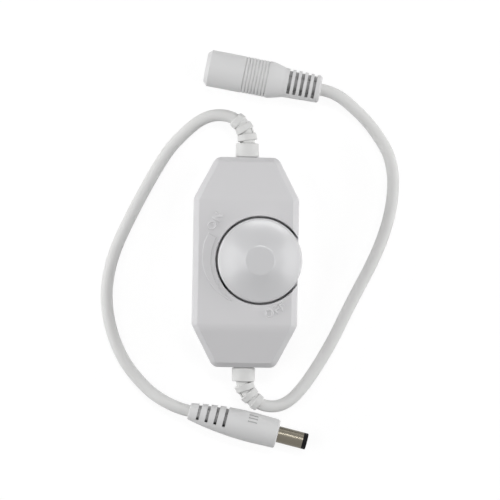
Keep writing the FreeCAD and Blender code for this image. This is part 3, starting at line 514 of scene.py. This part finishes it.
def raised_word(name, text, height, rise, centre, turn):
    """Word with slanted flanks that stands on the roof, centred on a place in millimetres."""
    line = bpy.data.curves.new(name, "FONT")
    line.body = text
    line.align_x = "CENTER"
    line.align_y = "CENTER"
    flank = 0.6 * rise
    line.size = height / CAPITAL_SHARE
    line.space_character = LETTER_SPACING
    line.offset = -flank / 2
    line.extrude = rise - flank
    line.bevel_depth = flank
    line.bevel_resolution = 2
    writing = bpy.data.objects.new(name + "_writing", line)
    bpy.context.scene.collection.objects.link(writing)
    bpy.context.view_layer.update()
    mesh = bpy.data.meshes.new_from_object(writing.evaluated_get(bpy.context.evaluated_depsgraph_get()))
    bpy.data.objects.remove(writing)
    work = bmesh.new()
    work.from_mesh(mesh)
    bpy.data.meshes.remove(mesh)
    bmesh.ops.remove_doubles(work, verts=work.verts, dist=MERGE_DISTANCE)
    spot, normal = roof_under(centre)
    lean = Vector((0.0, 0.0, 1.0)).rotation_difference(normal).to_matrix().to_4x4()
    place = Matrix.Translation(spot) @ lean @ Matrix.Rotation(turn, 4, "Z")
    bmesh.ops.transform(work, matrix=place, verts=work.verts)
    finished(work, name, "white_shell", NODE_BODY["upper_shell"])


class DIMMER_OT_words(bpy.types.Operator):
    """Raise the words ON and OFF on the roof"""

    bl_idname = "dimmer.words"
    bl_label = "Words"

    def execute(self, context):
        sizes = context.scene.dimmer_sizes
        for name, text, distance, direction, turn in WORDS:
            angle = math.radians(direction)
            centre = (KNOB_PLACE[0] + distance * math.cos(angle),
                      KNOB_PLACE[1] + distance * math.sin(angle))
            raised_word(name, text, sizes.letter_height, sizes.letter_rise, centre, math.radians(turn))
        return {"FINISHED"}


# Studio
def soft_box(name, azimuth, elevation, width, length, power):
    """Rectangular lamp that shines on the object from a direction in degrees, 0 being +X and 90 +Y."""
    around, above = math.radians(azimuth), math.radians(elevation)
    outward = Vector((math.cos(above) * math.cos(around), math.cos(above) * math.sin(around),
                      math.sin(above)))
    lamp = bpy.data.lights.new(name, "AREA")
    lamp.shape = "RECTANGLE"
    lamp.size = width
    lamp.size_y = length
    lamp.energy = power
    holder = bpy.data.objects.new(name, lamp)
    holder.location = Vector(LAMPS_AIM) + outward * LAMPS_DISTANCE
    holder.rotation_euler = (-outward).to_track_quat("-Z", "Y").to_euler()
    bpy.context.scene.collection.objects.link(holder)


def pale_floor():
    """Floor that keeps a light shadow of the object and is otherwise as white as the background."""
    work = bmesh.new()
    bmesh.ops.create_grid(work, x_segments=1, y_segments=1, size=FLOOR_SIZE)
    bmesh.ops.translate(work, vec=(0.0, 0.0, -FLOOR_DROP), verts=work.verts)
    mesh = bpy.data.meshes.new("floor")
    work.to_mesh(mesh)
    work.free()
    finish = Finish("floor_white", (0.85, 0.85, 0.85), 0.9)
    path = finish.tree.nodes.new("ShaderNodeLightPath")
    seen = sum(Signal(finish, path.outputs[ray]) for ray in SEEN_RAYS)
    glow = finish.node("ShaderNodeEmission", inputs={
        "Color": (1.0, 1.0, 1.0, 1.0), "Strength": FLOOR_GLOW})
    surface = Signal(finish, finish.shader.outputs[0])
    mixed = finish.node("ShaderNodeMixShader", inputs={0: seen * FLOOR_GLOW_SHARE, 1: surface, 2: glow})
    finish.tree.links.new(mixed.socket, finish.end.inputs["Surface"])
    mesh.materials.append(finish.material)
    floor = bpy.data.objects.new("floor", mesh)
    bpy.context.scene.collection.objects.link(floor)


def even_world(strength):
    """Even light from all round, which the camera, metal and glass see as white."""
    world = bpy.data.worlds.new("studio")
    world.use_nodes = True
    tree = world.node_tree
    background = tree.nodes["Background"]
    background.inputs["Color"].default_value = (1.0, 1.0, 1.0, 1.0)
    path = tree.nodes.new("ShaderNodeLightPath")
    strengths = tree.nodes.new("ShaderNodeMix")
    strengths.inputs["A"].default_value = strength
    strengths.inputs["B"].default_value = 1.0
    seen = path.outputs[SEEN_RAYS[0]]
    for ray in SEEN_RAYS[1:]:
        either = tree.nodes.new("ShaderNodeMath")
        either.operation = "MAXIMUM"
        tree.links.new(seen, either.inputs[0])
        tree.links.new(path.outputs[ray], either.inputs[1])
        seen = either.outputs[0]
    tree.links.new(seen, strengths.inputs["Factor"])
    tree.links.new(strengths.outputs["Result"], background.inputs["Strength"])
    bpy.context.scene.world = world


class DIMMER_OT_stage(bpy.types.Operator):
    """Set up the floor, the lamps and the camera above the object"""

    bl_idname = "dimmer.stage"
    bl_label = "Stage"

    def execute(self, context):
        studio = context.scene.dimmer_studio
        pale_floor()
        even_world(studio.ambient)
        for left_or_right in (180, 0):
            soft_box("high_light", left_or_right, elevation=55, width=0.7, length=0.4,
                     power=studio.high_light)
            soft_box("low_strip", left_or_right, elevation=12, width=1.0, length=0.16,
                     power=studio.low_light)
        soft_box("left_light", azimuth=180, elevation=30, width=0.9, length=0.3, power=studio.left_light)
        soft_box("far_strip", azimuth=90, elevation=12, width=1.0, length=0.16, power=studio.far_light)
        soft_box("top_light", azimuth=77, elevation=66, width=0.45, length=0.11, power=studio.top_light)
        camera = bpy.data.cameras.new("camera")
        camera.sensor_width = 36.0
        camera.lens = studio.lens
        camera.clip_start = 0.01
        camera.clip_end = 20.0
        holder = bpy.data.objects.new("camera", camera)
        holder.location = (*CAMERA_OVER, studio.camera_height)
        holder.rotation_euler = (0.0, 0.0, studio.camera_turn)
        context.scene.collection.objects.link(holder)
        context.scene.camera = holder
        context.scene.view_settings.view_transform = "Standard"
        return {"FINISHED"}


STEPS = (DIMMER_OT_finishes, DIMMER_OT_housing, DIMMER_OT_knob, DIMMER_OT_potentiometer,
         DIMMER_OT_electronics, DIMMER_OT_reliefs, DIMMER_OT_plug, DIMMER_OT_jack, DIMMER_OT_cords,
         DIMMER_OT_words, DIMMER_OT_stage)


class DIMMER_PT_panel(bpy.types.Panel):
    """Steps and settings of the dimmer"""

    bl_label = "Rotary Cord Dimmer"
    bl_idname = "DIMMER_PT_panel"
    bl_space_type = "VIEW_3D"
    bl_region_type = "UI"
    bl_category = "Dimmer"

    def draw(self, context):
        for group in (context.scene.dimmer_sizes, context.scene.dimmer_colours,
                      context.scene.dimmer_studio):
            for name in type(group).__annotations__:
                self.layout.prop(group, name)
        for step in STEPS:
            self.layout.operator(step.bl_idname)


CLASSES = (DimmerSizes, DimmerColours, DimmerStudio, *STEPS, DIMMER_PT_panel)


def register():
    """Registers the classes and hangs their settings on the scene."""
    for item in CLASSES:
        bpy.utils.register_class(item)
    bpy.types.Scene.dimmer_sizes = bpy.props.PointerProperty(type=DimmerSizes)
    bpy.types.Scene.dimmer_colours = bpy.props.PointerProperty(type=DimmerColours)
    bpy.types.Scene.dimmer_studio = bpy.props.PointerProperty(type=DimmerStudio)


def unregister():
    """Takes back what register has done."""
    del bpy.types.Scene.dimmer_studio
    del bpy.types.Scene.dimmer_colours
    del bpy.types.Scene.dimmer_sizes
    for item in reversed(CLASSES):
        bpy.utils.unregister_class(item)


def main():
    """Runs every step."""
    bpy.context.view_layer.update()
    register()
    for step in STEPS:
        group, name = step.bl_idname.split(".")
        getattr(getattr(bpy.ops, group), name)()


if __name__ == "__main__":
    main()
